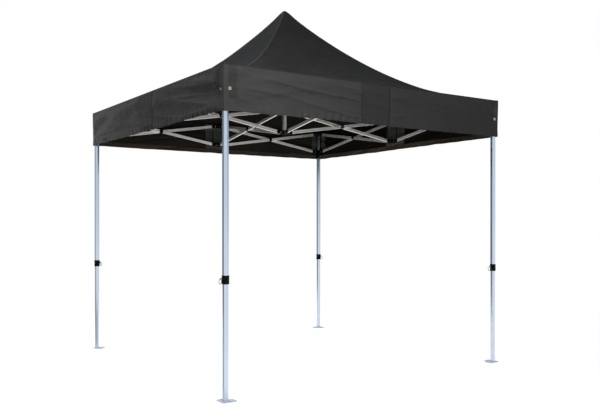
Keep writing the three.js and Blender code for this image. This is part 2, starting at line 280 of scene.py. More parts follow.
# ---- materials ----------------------------------------------------------------------------
def new_material(name, base, roughness, metallic=0.0):
    material = bpy.data.materials.new(name)
    material.use_nodes = True
    tree = material.node_tree
    shader = tree.nodes["Principled BSDF"]
    shader.inputs["Base Color"].default_value = (*base, 1)
    shader.inputs["Roughness"].default_value = roughness
    shader.inputs["Metallic"].default_value = metallic
    return material, tree, shader


def node(tree, kind, **values):
    """A node with the given settings; an input's value may be another node's output."""
    made = tree.nodes.new(kind)
    for key, value in values.items():
        if hasattr(made, key):
            setattr(made, key, value)
        else:
            feed(tree, made.inputs[key], value)
    return made


def feed(tree, socket, value):
    """Links a socket to another node's output, or sets its value."""
    if isinstance(value, bpy.types.NodeSocket):
        tree.links.new(value, socket)
    else:
        socket.default_value = value


def coordinates(tree, scale=(1, 1, 1), turn=(0, 0, 0)):
    place = node(tree, "ShaderNodeTexCoord").outputs["Object"]
    return node(tree, "ShaderNodeMapping", Scale=scale, Rotation=turn, Vector=place).outputs["Vector"]


def noise_of(tree, where, scale, detail=3.0, roughness=0.55):
    made = node(tree, "ShaderNodeTexNoise", Scale=scale, Detail=detail, Roughness=roughness, Vector=where)
    return made.outputs["Fac"]


def ramp(tree, factor, low, high, start=0.0, end=1.0):
    """Takes factor's span from start to end onto the span from low to high."""
    span = {"Value": factor, "From Min": start, "From Max": end, "To Min": low, "To Max": high}
    return node(tree, "ShaderNodeMapRange", **span).outputs["Result"]


def mix_colours(tree, factor, a, b):
    made = node(tree, "ShaderNodeMix", data_type="RGBA", Factor=factor)
    for socket, value in ((made.inputs[6], a), (made.inputs[7], b)):
        feed(tree, socket, (*value, 1) if isinstance(value, tuple) else value)
    return made.outputs[2]


def bump(tree, height, strength, distance, previous=None):
    made = node(tree, "ShaderNodeBump", Strength=strength, Distance=distance, Height=height)
    if previous:
        feed(tree, made.inputs["Normal"], previous)
    return made.outputs["Normal"]


def calculate(tree, kind, a, b):
    made = node(tree, "ShaderNodeMath", operation=kind)
    for socket, value in zip(made.inputs, (a, b)):
        feed(tree, socket, value)
    return made.outputs[0]


def weave_height(tree, pitch):
    """Over-and-under threads of a plain weave, from sines along the three axes."""
    waves = []
    for direction in ("X", "Y", "Z"):
        wave = node(tree, "ShaderNodeTexWave", wave_type="BANDS", bands_direction=direction, Distortion=0.15,
                    Detail=0.0, Scale=math.pi / (20 * pitch), Vector=coordinates(tree))
        waves.append(wave.outputs["Fac"])
    first = calculate(tree, "ADD", waves[0], waves[1])
    return calculate(tree, "MULTIPLY", first, waves[2])


def finish_shader(tree, shader, colour, roughness, normal):
    for name, value in (("Base Color", colour), ("Roughness", roughness), ("Normal", normal)):
        feed(tree, shader.inputs[name], value)


def cloth_material(name, colour, pale, roughness, pitch=0.0011, specular=0.14):
    """Woven cloth: clouds of tone from colour to pale, flecks, creases and threads at the given pitch."""
    material, tree, shader = new_material(name, colour, roughness)
    place = coordinates(tree)
    cloud = noise_of(tree, place, 2.3, 4.0)
    fleck = noise_of(tree, place, 900.0, 1.0)
    tone = mix_colours(tree, ramp(tree, cloud, 0.0, 1.0, 0.35, 0.7), colour, pale)
    flecked = mix_colours(tree, ramp(tree, fleck, 0.0, 0.5, 0.45, 0.75), tone, tuple(c * 1.5 for c in pale))
    rough = ramp(tree, noise_of(tree, place, 14.0), roughness - 0.07, roughness + 0.07, 0.3, 0.7)
    creases = bump(tree, noise_of(tree, coordinates(tree, (1, 1, 1.8)), 11.0, 4.0), 0.22, 0.006)
    woven = bump(tree, weave_height(tree, pitch), 0.3, 0.0003, creases)
    finish_shader(tree, shader, flecked, rough, woven)
    shader.inputs["Specular IOR Level"].default_value = specular
    return material


def metal_material(name, colour, worn, roughness, stretch=(1, 1, 0.02), scale=700.0, marks=1.0, metallic=1.0):
    """Drawn or rolled metal: fine lines along one axis, patches of tone and small scratches."""
    material, tree, shader = new_material(name, colour, roughness, metallic)
    lines = noise_of(tree, coordinates(tree, stretch), scale, 2.0)
    cloud = noise_of(tree, coordinates(tree), 9.0, 4.0)
    scratch = noise_of(tree, coordinates(tree, (1, 1, 0.25), (0.5, 0.3, 0)), 160.0, 5.0, 0.7)
    tone = mix_colours(tree, ramp(tree, cloud, 0.0, 1.0, 0.3, 0.75), colour, worn)
    dark = tuple(c * (1 - 0.4 * marks) for c in worn)
    marked = mix_colours(tree, ramp(tree, scratch, 0.0, 0.35, 0.62, 0.75), tone, dark)
    rough = ramp(tree, lines, roughness - 0.05, roughness + 0.08, 0.3, 0.7)
    fine = bump(tree, lines, 0.12 * marks, 0.0002)
    finish_shader(tree, shader, marked, rough, bump(tree, scratch, 0.06 * marks, 0.0003, fine))
    return material


def plastic_material(name, colour, roughness):
    """Moulded plastic: a fine grain and faint clouds."""
    material, tree, shader = new_material(name, colour, roughness)
    shader.inputs["Specular IOR Level"].default_value = 0.06
    place = coordinates(tree)
    grain = noise_of(tree, place, 1400.0, 2.0)
    cloud = noise_of(tree, place, 22.0, 3.0)
    pale = tuple(c * 2.0 + 0.001 for c in colour)
    tone = mix_colours(tree, ramp(tree, cloud, 0.0, 1.0, 0.35, 0.7), colour, pale)
    rough = ramp(tree, cloud, roughness - 0.08, roughness + 0.1, 0.3, 0.7)
    finish_shader(tree, shader, tone, rough, bump(tree, grain, 0.3, 0.00025))
    return material


def grey(level, blue=0.0):
    return (level, level, level + blue)


ROOF_CLOTH = cloth_material("roof_polyester", grey(0.0092, 0.0002), grey(0.0126, 0.0003), 0.62, specular=0.02)
VALANCE_CLOTH = cloth_material("valance_polyester", grey(0.0135, 0.0002), grey(0.018, 0.0002), 0.50)
LINING = cloth_material("lining_polyester", (0.0070, 0.0066, 0.0058), (0.0110, 0.0104, 0.0090), 0.85,
                        specular=0.03)
# A paler copy of the same lining cloth: painted light for the back valance's inside, which the front light
# reaches.
PAINTED_LIGHT_LINING = cloth_material("lining_polyester_painted_light", (0.022, 0.021, 0.017), (0.032, 0.030, 0.025), 0.85,
                             specular=0.03)
INNER_PATCH = cloth_material("inner_patch", grey(0.0765, -0.0051), grey(0.0986, -0.0068), 0.8, specular=0.08)
HEM_INSIDE = cloth_material("hem_inside", (0.060, 0.046, 0.032), (0.076, 0.060, 0.044), 0.8, specular=0.05)
PANEL_CLOTH = cloth_material("middle_panel_polyester", grey(0.0105, 0.0002), grey(0.0140, 0.0002), 0.50)
SEAM_THREAD = cloth_material("seam_thread", grey(0.004), grey(0.007), 0.8, 0.0024, specular=0.05)
TAPE_CLOTH = cloth_material("hip_tape", grey(0.013, 0.0003), grey(0.017, 0.0003), 0.5, 0.0014, specular=0.06)
WEBBING = cloth_material("strap_webbing", grey(0.012), grey(0.020), 0.8, 0.0018)
LEG_METAL = metal_material("leg_anodised", (0.63, 0.71, 0.83), (0.59, 0.67, 0.79), 0.18, marks=0.15)
BAR_METAL = metal_material("truss_aluminium", (0.97, 0.95, 0.91), (0.90, 0.88, 0.84), 0.50,
                           stretch=(0.05, 0.05, 1), scale=500.0)
FOOT_METAL = metal_material("foot_galvanised", (0.46, 0.53, 0.66), (0.38, 0.43, 0.52), 0.42,
                            stretch=(1, 1, 1), scale=60.0, metallic=0.5)
EVEN = {"stretch": (1, 1, 1), "scale": 300.0}       # a finish without drawn lines
BLACK_STEEL = metal_material("ring_black_steel", grey(0.05), grey(0.08), 0.4, **EVEN)
STEEL = metal_material("pin_steel", (0.70, 0.71, 0.73), (0.55, 0.56, 0.58), 0.28, **EVEN)
BRASS = metal_material("eyelet_brass", (0.90, 0.86, 0.52), (0.74, 0.68, 0.38), 0.3, **EVEN)
PLASTIC = plastic_material("black_nylon", grey(0.0015, 0.0001), 0.5)


# ---- cover: shape -------------------------------------------------------------------------
def smooth_step(x, low, high):
    t = min(1.0, max(0.0, (x - low) / (high - low)))
    return t * t * (3 - 2 * t)


def rough(x, y, layer):
    """Smooth seeded noise, between about -1 and 1."""
    return noise.noise(Vector((x, y, layer)))


def bell(x, width):
    return math.exp(-((x / width) ** 2))


def roof_height(w):
    """Roof's height at square radius w: a hollow curve, with a round end where the mast cap pushes."""
    round_end = 0.020

    def curve(v):
        return EAVE_Z + ROOF_RISE * max(0.0, 1 - ROOF_REACH * v / W) ** ROOF_POWER + 0.014 * bell(v, 0.07)

    if w >= round_end:
        return curve(w)
    slope = (curve(round_end + 0.001) - curve(round_end)) / 0.001
    return curve(round_end) + slope * (w * w / round_end - round_end) / 2


def roof_folds(k, w, s):
    """Soft folds that fan from the hips and settle toward the eave; s is the distance along the side."""
    share = s / max(w, 1e-6)
    off_hip = smooth_step(w - abs(s), 0.0, 0.06)
    by_hip = bell(1 - abs(share), 0.34) * smooth_step(w, 0.30, 0.9) * (1 - smooth_step(w, 1.38, 1.48))
    fan = rough((w - abs(s)) * 9 + 3 * k, w * 1.6, 2.0 + (s > 0))
    fold = (fan * 0.016 + math.sin((w - abs(s)) * 30 + w * 6 + 1.7 * k) * 0.0035) * by_hip
    slack = rough(w * 2.0 + 7 * k, s * 1.5, 0.3) * 0.020
    slack *= smooth_step(w, 0.25, 0.6) * (1 - smooth_step(w, 1.32, 1.47))
    edge_ripple = rough(s * 8 + 3 * k, w * 4, 5.0) * 0.006 * smooth_step(w, 1.1, 1.38)
    edge_ripple *= 1 - smooth_step(w, 1.44, 1.487)
    tight = rough(s * 5 + 9 * k, w * 2.2, 6.0) * 0.004 * smooth_step(w, 0.12, 0.3)
    tight *= 1 - smooth_step(w, 0.7, 1.1)
    return (fold + slack + edge_ripple + tight) * off_hip


def patch_step(w):
    return 0.0012 * (1 - smooth_step(w, PATCH_HALF - 0.0015, PATCH_HALF + 0.0015))


def roof_point(k, w, s):
    z = roof_height(w) + roof_folds(k, w, s) + patch_step(w)
    edge = W - w
    reach, drop = w, 0.0
    if edge < EAVE_ROUND:
        angle = (1 - edge / EAVE_ROUND) * math.pi / 2
        reach = W - EAVE_ROUND + EAVE_ROUND * math.sin(angle)
        drop = EAVE_ROUND * (1 - math.cos(angle))
    scale = reach / w if w > 0 else 1
    point = out(k) * reach + out(k + 1) * s * scale
    point.z = z - drop
    return point


def hem_puckers(k, s, z):
    """Slanted gathers that the hem's stitching pulls in, about 80 mm apart."""
    wander = rough(s * 3 + 11 * k, 0.0, 2.0)
    phase = (s + 0.35 * (z - HEM_Z)) / 0.078 + 1.3 * wander
    crest = 1 - abs(2 * (phase % 1.0) - 1)
    size = 0.55 + 0.9 * rough(s * 7 + 11 * k, z * 3, 3.0)
    band = bell(z - HEM_Z - 0.030, 0.024)
    fine = rough(s * 48 + 11 * k, z * 14, 3.0) * 0.0012
    return (smooth_step(crest, 0.15, 0.95) * 0.0150 * size + fine) * band


def valance_depth(k, s, z):
    """How far the hanging cloth stands out of its plane: folds, hem puckers, seams and its middle panel."""
    down = (EAVE_Z - z) / (EAVE_Z - HEM_Z)
    near_corner = smooth_step(W - abs(s), 0.0, 0.09)
    t = s - PANEL_AT[k]
    off_panel = 0.35 + 0.65 * smooth_step(abs(t), PANEL_HALF - 0.02, PANEL_HALF + 0.10)
    seed = 11.0 * k
    hung = math.sin(math.pi * down)
    drape = rough(s * 1.1 + seed, z * 1.5, 1.0) * 0.022 * smooth_step(down, 0.05, 0.9)
    slant = s * 0.55 + (z - HEM_Z) * (2.3 if s > 0 else -2.3)
    from_corner = bell(W - abs(s), 0.75)
    diagonal = rough(slant * 4.2 + seed, s * 0.7, 4.0) * 0.044 * from_corner * hung
    sag = rough(s * 0.8 + seed, z * 9 + s * 0.9, 7.0)
    long_fold = (1 - abs(sag)) ** 6 * 0.021 - 0.005
    long_fold *= smooth_step(down, 0.06, 0.30) * (1 - 0.6 * from_corner)
    wander = rough(s * 0.9 + seed, 0.0, 15.0)
    bulge = bell(EAVE_Z - 0.085 - 0.03 * wander - z, 0.045) * (0.012 + 0.010 * wander)
    crease = rough(s * 2.2 + seed, z * 26 + s * 2.0, 12.0)
    crease = (1 - abs(crease)) ** 9 * 0.0045 * math.sin(math.pi * min(1, down * 1.05))
    top_pucker = rough(s * 18 + seed, z * 6, 9.0) * 0.0034 * bell(EAVE_Z - 0.025 - z, 0.03)
    panel = 0.0022 * (1 - smooth_step(abs(t), PANEL_HALF - 0.0015, PANEL_HALF + 0.0015))
    hem = 0.0014 * (1 - smooth_step(z, HEM_Z + HEM_DEPTH - 0.001, HEM_Z + HEM_DEPTH + 0.001))
    stitch = -0.0016 * bell(z - HEM_Z - HEM_DEPTH - 0.002, 0.002)
    for edge in (-PANEL_HALF, PANEL_HALF):
        inside = edge - math.copysign(0.004, edge)
        stitch -= 0.0036 * bell(t - inside, 0.004) * (0.7 + 0.3 * math.sin(z * 160))
        stitch += rough(s * 4 + seed, z * 34, 17.0) * 0.0052 * bell(t - edge, 0.06) * hung
    loose = (drape + diagonal + (long_fold + bulge) * off_panel + crease) * near_corner
    gathers = hem_puckers(k, s, z) * (0.35 + 0.65 * near_corner)
    depth = loose + gathers + top_pucker * near_corner + panel + hem + stitch
    return depth if depth > 0 else CLEAR_OF_LEG * (math.exp(depth / CLEAR_OF_LEG) - 1)


def valance_point(k, s, z):
    hem_rise = 0.006 * rough(s * 0.9 + 5 * k, 0.0, 8.0) + 0.003 * bell(W - abs(s), 0.25)
    hem_rise += 0.0045 * rough(s * 7 + 11 * k, 0.0, 2.0)
    depth = valance_depth(k, s, z) * smooth_step(EAVE_Z - EAVE_ROUND - z, 0.0, 0.016)
    shift = 0.004 * smooth_step(EAVE_Z - z, 0.0, 0.3)
    top = EAVE_Z - EAVE_ROUND
    fall = (top - z) / (top - HEM_Z)
    point = out(k) * (W + depth - shift) + out(k + 1) * (s * (1 - shift / W))
    point.z = z + hem_rise * fall
    return point


def spaced(low, high, step, exact=()):
    """Values from low to high about step apart, with the exact ones among them."""
    stops = [low, *sorted(v for v in exact if low < v < high), high]
    values = []
    for a, b in zip(stops, stops[1:]):
        count = max(1, round((b - a) / step))
        values += [a + (b - a) * i / count for i in range(count)]
    return values + [high]


def thicken(obj, inner_slot=1):
    solid = obj.modifiers.new("thickness", "SOLIDIFY")
    solid.thickness, solid.offset = CLOTH_THICK, -1
    solid.material_offset = inner_slot
    solid.material_offset_rim = 0
    return obj


# ---- cover: its pieces and the bodies they ride on ----------------------------------------
OPEN_RISE = TOP_Z - LOW_Z
GORES_PER_SIDE = 22
EAVE_BAND = 1.30                                   # the roof's outer band starts at this square radius


def fold_gore(obj, middle):
    """Attaches a gore to the upper mast's body and gives it its own mesh; middle is not used."""
    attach(obj, "mast_upper")
    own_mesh(obj)


def make_gore(k, index):
    """One of a side's sewn-together slices of roof, from the peak to the eave band."""
    low = -1 + 2 * index / GORES_PER_SIDE
    high = low + 2 / GORES_PER_SIDE
    rows = [0.0] + spaced(0.012, EAVE_BAND, 0.016, (PATCH_HALF - 0.002, PATCH_HALF + 0.002))
    shares = [low + (high - low) * f for f in (0.0, 0.012, *(j / 8 for j in range(1, 8)), 0.988, 1.0)]
    obj = roof_piece(f"roof_{SIDES[k]}_gore_{index + 1}", k, rows, shares)
    fold_gore(obj, roof_point(k, EAVE_BAND, EAVE_BAND * (low + high) / 2))
    declare_roof(rows)
    return obj


def make_eave_band(k):
    """The roof's outer band along one side, which rides on the same bracket as the valance under it."""
    rows = spaced(EAVE_BAND, W - EAVE_ROUND, 0.016) + [W - EAVE_ROUND * (1 - (i + 1) / 4) for i in range(4)]
    count = 8 * GORES_PER_SIDE
    obj = roof_piece(f"roof_{SIDES[k]}_eave_band", k, rows, [-1 + 2 * j / count for j in range(count + 1)])
    ride_valance(obj, k)
    declare_roof(rows)
    return obj


def roof_piece(name, k, rows, shares):
    """A piece of side k's roof between square radii rows, across the given shares of its width."""
    points = [roof_point(k, w, w * share) for w in rows for share in shares]
    obj = mesh_object(name, points, grid_faces(len(rows), len(shares)), [ROOF_CLOTH, LINING])
    bm = bmesh.new()
    bm.from_mesh(obj.data)
    bmesh.ops.remove_doubles(bm, verts=bm.verts, dist=1e-5)
    bmesh.ops.reverse_faces(bm, faces=bm.faces)
    bm.to_mesh(obj.data)
    bm.free()
    sharp_border(obj)
    return obj


def declare_roof(rows):
    """Works out the lengths between a roof piece's rows; nothing is done with them."""
    steps = [(a, b, math.hypot(b - a, roof_height(b) - roof_height(a))) for a, b in zip(rows, rows[1:])]


def ride_valance(obj, k):
    """Attaches a sheet to its side's upper middle bracket and gives it its own mesh."""
    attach(obj, f"middle_{SIDES[k]}_upper")
    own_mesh(obj)


PLAIN, PANEL, SEAM = 0, 2, 4            # finishes of the outer face; each one's inner finish comes next


def make_valance(k):
    at = PANEL_AT[k]
    exact = [at + edge + d for edge in (-PANEL_HALF, PANEL_HALF) for d in (-0.003, 0.003)]
    columns = spaced(-W, W, 0.007, exact)
    top = EAVE_Z - EAVE_ROUND
    rows = spaced(HEM_Z, top, 0.007, (HEM_Z + HEM_DEPTH - 0.0015, HEM_Z + HEM_DEPTH + 0.0015))
    points = [valance_point(k, s, z) for z in rows for s in columns]
    slots = []
    for z in rows[:-1]:
        for s, following in zip(columns, columns[1:]):
            middle = (s + following) / 2
            off = abs(middle - at)
            by_leg = 0.045 < W - abs(middle) < 0.115 and z > HEM_Z + 0.09
            seam = abs(off - PANEL_HALF) < 0.003
            slots.append(SEAM if seam else PANEL if off < PANEL_HALF or by_leg else PLAIN)
    # The back valance's inside takes the paler lining copy: painted light on that inner face.
    inside = LINING if k != 1 else PAINTED_LIGHT_LINING
    finishes = [VALANCE_CLOTH, inside, PANEL_CLOTH, INNER_PATCH, SEAM_THREAD, LINING]
    obj = mesh_object(f"valance_{SIDES[k]}", points, grid_faces(len(rows), len(columns)), finishes,
                      face_slots=slots)
    sharp_border(obj)
    ride_valance(obj, k)
    return obj


gores = [[make_gore(k, index) for index in range(GORES_PER_SIDE)] for k in range(4)]
eave_bands = [make_eave_band(k) for k in range(4)]
valances = [make_valance(k) for k in range(4)]
for side_gores in gores:
    for gore in side_gores:
        thicken(gore)
for sheet in eave_bands + valances:
    thicken(sheet)
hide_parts("canopy")


# ---- frame: brackets and forks ------------------------------------------------------------
CHEEK, CHEEK_GAP = 0.0035, 0.0005
FORK_BASE = -0.017                      # fork's base behind its pin, along the bar
FORK_BASE_THICK = 0.006
FORK_HIGH = 0.0125
BLOCK_HALF_HIGH = 0.018
HALF_TURN = [math.pi * i / 12 - math.pi / 2 for i in range(13)]


def corner_at(k):
    return out(k) * A + out(k + 1) * A


def add_fork(piece, k, at, offset, reach, z):
    """Two round-ended cheeks on a base plate, their pin and its two rivet heads, in plastic and steel."""
    pin = at + out(k) * reach + UP * z
    place = placed_at(pin + out(k + 1) * offset, out(k), UP)
    half = BAR_HALF_THICK + CHEEK_GAP
    cheek = [(FORK_BASE - 0.004, -FORK_HIGH)]
    cheek += [(FORK_HIGH * math.cos(a), FORK_HIGH * math.sin(a)) for a in HALF_TURN]
    cheek += [(FORK_BASE - 0.004, FORK_HIGH)]
    piece.extrude(place, cheek, half, half + CHEEK)
    piece.extrude(place, cheek, -half - CHEEK, -half)
    base_back = FORK_BASE - FORK_BASE_THICK
    base = [(base_back, -FORK_HIGH), (FORK_BASE, -FORK_HIGH), (FORK_BASE, FORK_HIGH), (base_back, FORK_HIGH)]
    piece.extrude(place, base, -half - CHEEK, half + CHEEK)
    piece.rod(place, -half - 0.001, half + 0.001, 0.0036, 1)
    piece.dome(place, half + CHEEK, 0.0022, 0.0062, 1)
    piece.dome(place, -half - CHEEK, -0.0022, 0.0062, 1)


def make_hubs():
    block = centred(0.025, 0.025, 0.005)
    top = Piece("mast_hub_top", PLASTIC, STEEL)
    passage = centred(0.01575, 0.01575, 0.002)
    top.extrude(raised(TOP_Z), block, -BLOCK_HALF_HIGH, BLOCK_HALF_HIGH, 0, [passage])
    low = Piece("mast_hub_bottom", PLASTIC, STEEL, BAR_METAL)
    low.extrude(raised(LOW_Z), block, -BLOCK_HALF_HIGH, BLOCK_HALF_HIGH)
    low.lathe(raised(LOW_Z - BLOCK_HALF_HIGH), [(0, -0.004), (0.012, -0.004), (0.016, 0), (0, 0)])
    tube = centred(0.015, 0.015, 0.003)
    bore = centred(0.0135, 0.0135, 0.002)
    low.extrude(HERE, tube, LOW_Z + BLOCK_HALF_HIGH, MAST_LOWER_TOP, 2, [bore])
    for k in range(4):
        add_fork(top, k, Vector(), BAR_OFFSET, HUB_PIN, TOP_Z)
        add_fork(low, k, Vector(), -BAR_OFFSET, HUB_PIN, LOW_Z)
    top.done("hub_top_and_cover", "hub_top")
    low.done("hub_bottom_and_lower_mast", "hub_bottom_with_lower_mast")


def make_mast():
    mast = Piece("mast_upper_tube_and_cap", LEG_METAL, PLASTIC)
    tube = centred(0.0125, 0.0125, 0.0025)
    bore = centred(0.011, 0.011, 0.0015)
    low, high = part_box("mast_upper_with_cap")
    cap = high[2]
    mast.extrude(HERE, tube, low[2], cap - 0.024, 0, [bore])
    wide, crown = 0.036, 0.018
    turns = (0, 0.3, 0.6, 0.9, 1.2, 1.4)
    arc = [(wide * math.cos(a), cap - crown + crown * math.sin(a)) for a in turns]
    stem = [(0, cap - 0.027), (0.018, cap - 0.027), (0.020, cap - 0.024), (wide, cap - 0.023)]
    profile = [*stem, *arc, (0, cap)]
    mast.lathe(HERE, profile, 1, 48)
    mast.done("mast_upper", "mast_upper_with_cap", slot="leg_aluminium")


def make_middles():
    """The two brackets at the middle of each side: a block, two side-bar forks and the centre arm's fork."""
    for k, side in enumerate(SIDES):
        at = out(k) * A
        for level, z, side_offset, arm_offset in (("upper", TOP_Z, BAR_OFFSET, -BAR_OFFSET),
                                                  ("lower", LOW_Z, -BAR_OFFSET, BAR_OFFSET)):
            piece = Piece(f"middle_bracket_{side}_{level}", PLASTIC, STEEL)
            place = placed_at(at + UP * z, out(k), out(k + 1))
            block = centred(BLOCK_HALF_HIGH, 0.017, 0.004)
            piece.extrude(place, block, -BLOCK_HALF_HIGH, BLOCK_HALF_HIGH, 0, [circle(0.006, 16)])
            face = placed_at(at + UP * z + out(k) * BLOCK_HALF_HIGH, out(k + 1), UP)
            piece.extrude(face, centred(0.012, 0.013, 0.003), 0, 0.0016)
            add_fork(piece, k + 1, at, -side_offset, MID_PIN, z)
            add_fork(piece, k + 3, at, side_offset, MID_PIN, z)
            add_fork(piece, k + 2, at, -arm_offset, MID_ARM_PIN, z)
            piece.done(f"middle_{side}_{level}", f"middle_{side}_{level}")


# ---- frame: truss bars --------------------------------------------------------------------
SLEEVE_LONG = 0.046
DISC_R = 0.0230


def bar_section():
    """A ribbed tube's outline: round corners and a shallow groove along each wide face."""
    high, thick, groove = BAR_HALF_HIGH - 0.0002, BAR_HALF_THICK - 0.0002, 0.0055
    deep = thick - 0.0007
    right = [(groove + 0.0015, thick), (groove, deep), (-groove, deep), (-groove - 0.0015, thick)]
    corner = 0.0024
    arc = [(math.cos(a) * corner, math.sin(a) * corner) for a in (0, 0.52, 1.05, 1.571)]
    outline = [(high - corner + x, thick - corner + y) for x, y in arc] + right
    outline += [(-high + corner - x, thick - corner + y) for x, y in reversed(arc)]
    outline += [(x, -y) for x, y in reversed(outline)]
    return outline


def make_bar(node, k, start, end, partner, carries_pin):
    """A truss bar between two pins; its scissor's other bar is toward its own Z where partner is 1."""
    along = (end - start).normalized()
    across = out(k + 3)
    length = (end - start).length
    place = placed_at(start, along, across.cross(along))
    piece = Piece(f"truss_{node}", BAR_METAL, PLASTIC, STEEL)
    lengthwise = placed_at(start, across.cross(along), across)
    piece.extrude(lengthwise, bar_section(), SLEEVE_LONG - 0.008, length - SLEEVE_LONG + 0.008)
    half = BAR_HALF_THICK + 0.0003
    for pin, way in ((0.0, 1), (length, -1)):
        sleeve = [(pin - way * BAR_HALF_HIGH * math.cos(a), BAR_HALF_HIGH * math.sin(a)) for a in HALF_TURN]
        tip = pin + way * SLEEVE_LONG
        shoulder = tip - way * 0.006
        sleeve += [(shoulder, BAR_HALF_HIGH + 0.0003), (tip, BAR_HALF_HIGH - 0.004)]
        sleeve += [(tip, -BAR_HALF_HIGH + 0.004), (shoulder, -BAR_HALF_HIGH - 0.0003)]
        piece.extrude(place, sleeve, -half, half, 1)
    middle = place @ Matrix.Translation((length / 2, 0, 0))
    face = -partner * BAR_HALF_THICK
    disc = [(0, 0), (DISC_R, 0), (DISC_R, 0.002), (DISC_R - 0.003, 0.0034), (0.009, 0.0034),
            (0.0085, 0.0026), (0, 0.0026)]
    piece.lathe(middle, [(radius, face - partner * z) for radius, z in disc], 1, 32)
    piece.dome(middle, face - partner * 0.0026, -partner * 0.002, 0.0058, 2)
    if carries_pin:
        inner = partner * BAR_HALF_THICK
        outer = inner + partner * 2 * (BAR_OFFSET - BAR_HALF_THICK) * 0.85
        spacer = [(0, inner), (DISC_R - 0.002, inner), (DISC_R - 0.002, outer), (0, outer)]
        piece.lathe(middle, spacer, 1, 32)
    piece.done(node, node, slot="truss_aluminium", edge=0.0005)


def make_bars():
    for k, side in enumerate(SIDES):
        u = out(k)
        far = A - MID_ARM_PIN

        def arm_pin(reach, offset, z):
            return u * reach + out(k + 1) * offset + UP * z

        make_bar(f"arm_{side}_upper", k, arm_pin(HUB_PIN, BAR_OFFSET, TOP_Z),
                 arm_pin(far, BAR_OFFSET, LOW_Z), 1, True)
        make_bar(f"arm_{side}_lower", k, arm_pin(HUB_PIN, -BAR_OFFSET, LOW_Z),
                 arm_pin(far, -BAR_OFFSET, TOP_Z), -1, False)
        for way, end in ((1, "a"), (-1, "b")):
            toward = k + 1 if way > 0 else k + 3

            def side_pin(reach, offset, z):
                return u * (A + offset) + out(k + 1) * (way * reach) + UP * z

            near, leg = MID_PIN, A - LEG_PIN
            make_bar(f"bar_{side}_{end}_rising", toward, side_pin(near, -BAR_OFFSET, LOW_Z),
                     side_pin(leg, -BAR_OFFSET, TOP_Z), -way, True)
            make_bar(f"bar_{side}_{end}_falling", toward, side_pin(near, BAR_OFFSET, TOP_Z),
                     side_pin(leg, BAR_OFFSET, LOW_Z), way, False)


# ---- frame: legs --------------------------------------------------------------------------
HEAD_HALF = 0.027                       # leg heads and slider heads are square
COLLAR_R, LIP_R, RIB_R, SLEEVE_R = 0.0285, 0.0275, 0.0290, 0.0287
BAND_R = 0.0292                         # raised bands on collars and sliders
BOSS_R = 0.0105                         # pin bosses
RING_AT = 0.044
STAKE_HOLE_AT = 0.062
FOOT_OUT, FOOT_TAB_EDGE, FOOT_TAB_END = 0.041, -0.037, -0.080
HEIGHT_PIN_SIDE = [0, 0, 2, 2]
SLIDER_PIN_SIDE = [3, 0, 1, 2]


def sleeve_bore(at):
    """The hole of a piece that fits round the outer leg."""
    return leg_hexagon(at, LEG_R + 0.0003, 0.0022)


def add_head_faces(piece, k, at, z):
    """Raised plates on the two faces of a square head that carry no fork; their places."""
    faces = [placed_at(at + UP * z + out(side) * HEAD_HALF, out(side + 1), UP) for side in (k, k + 1)]
    for face in faces:
        piece.extrude(face, centred(0.018, 0.014, 0.004), 0, 0.0014, piece.materials.index(PLASTIC))
    return faces


def add_boss(piece, k, pin, base, rim, floor):
    """A tapered boss round a spring pin, with a hole down to floor; distances are from the leg's axis."""
    profile = [(0, base), (BOSS_R, base), (BOSS_R - 0.0007, rim), (0.0055, rim), (0.0055, floor), (0, floor)]
    piece.lathe(placed_at(pin, out(k + 1), UP), profile)


def make_outer_leg(k, corner, at):
    piece = Piece(f"outer_leg_and_head_{corner}", LEG_METAL, PLASTIC, STEEL)
    tube, bore = leg_hexagon(at, LEG_R, 0.0026), leg_hexagon(at, LEG_R - 0.0021, 0.0020)
    piece.extrude(HERE, tube, LEG_BOTTOM_Z, LEG_TOP_Z - 0.003, 0, [bore])
    head = moved(centred(HEAD_HALF, HEAD_HALF, 0.005), at)
    piece.extrude(raised(TOP_Z), head, -0.020, 0.020, 1)
    cap = leg_hexagon(at, LEG_R - 0.001, 0.004)
    piece.extrude(HERE, cap, LEG_TOP_Z - 0.006, LEG_TOP_Z, 1)
    for face in add_head_faces(piece, k, at, TOP_Z):
        piece.dome(face, 0.0014, 0.002, 0.0055, 2)
    forks = Piece(f"leg_head_forks_{corner}", PLASTIC, STEEL)
    add_fork(forks, k + 3, at, -BAR_OFFSET, LEG_PIN, TOP_Z)
    add_fork(forks, k + 2, at, BAR_OFFSET, LEG_PIN, TOP_Z)
    piece.done(f"leg_{corner}", f"leg_outer_{corner}", slot="leg_aluminium")
    forks.done(f"leg_{corner}")


def make_collar(k, corner, at):
    """The moulded collar at the outer leg's end, with grip bands, a lip and its height pin's boss."""
    low, high = COLLAR_Z
    piece = Piece(f"height_collar_{corner}", PLASTIC, STEEL)
    bore = sleeve_bore(at)
    lip_bore = leg_hexagon(at, INNER_R + 0.0006, 0.0018)
    piece.extrude(HERE, leg_hexagon(at, COLLAR_R, 0.004), low + 0.006, high, 0, [bore])
    piece.extrude(HERE, leg_hexagon(at, LIP_R, 0.004), low, low + 0.0065, 0, [lip_bore])
    band = leg_hexagon(at, BAND_R, 0.0045)
    for z in (low + 0.008, high - 0.006):
        piece.extrude(raised(z), band, -0.003, 0.003, 0, [bore])
    for z in (low + 0.018, low + 0.0225, low + 0.027):
        piece.extrude(raised(z), leg_hexagon(at, RIB_R, 0.0045), -0.0011, 0.0011, 0, [bore])
    side, pin = HEIGHT_PIN_SIDE[k], at + UP * HEIGHT_PIN_Z
    add_boss(piece, side, pin, 0.024, 0.033, 0.026)
    piece.dome(placed_at(pin, out(side + 3), UP), 0.0246, 0.0024, 0.005, 1)
    piece.done(f"leg_{corner}", f"collar_{corner}", edge=0.0007)


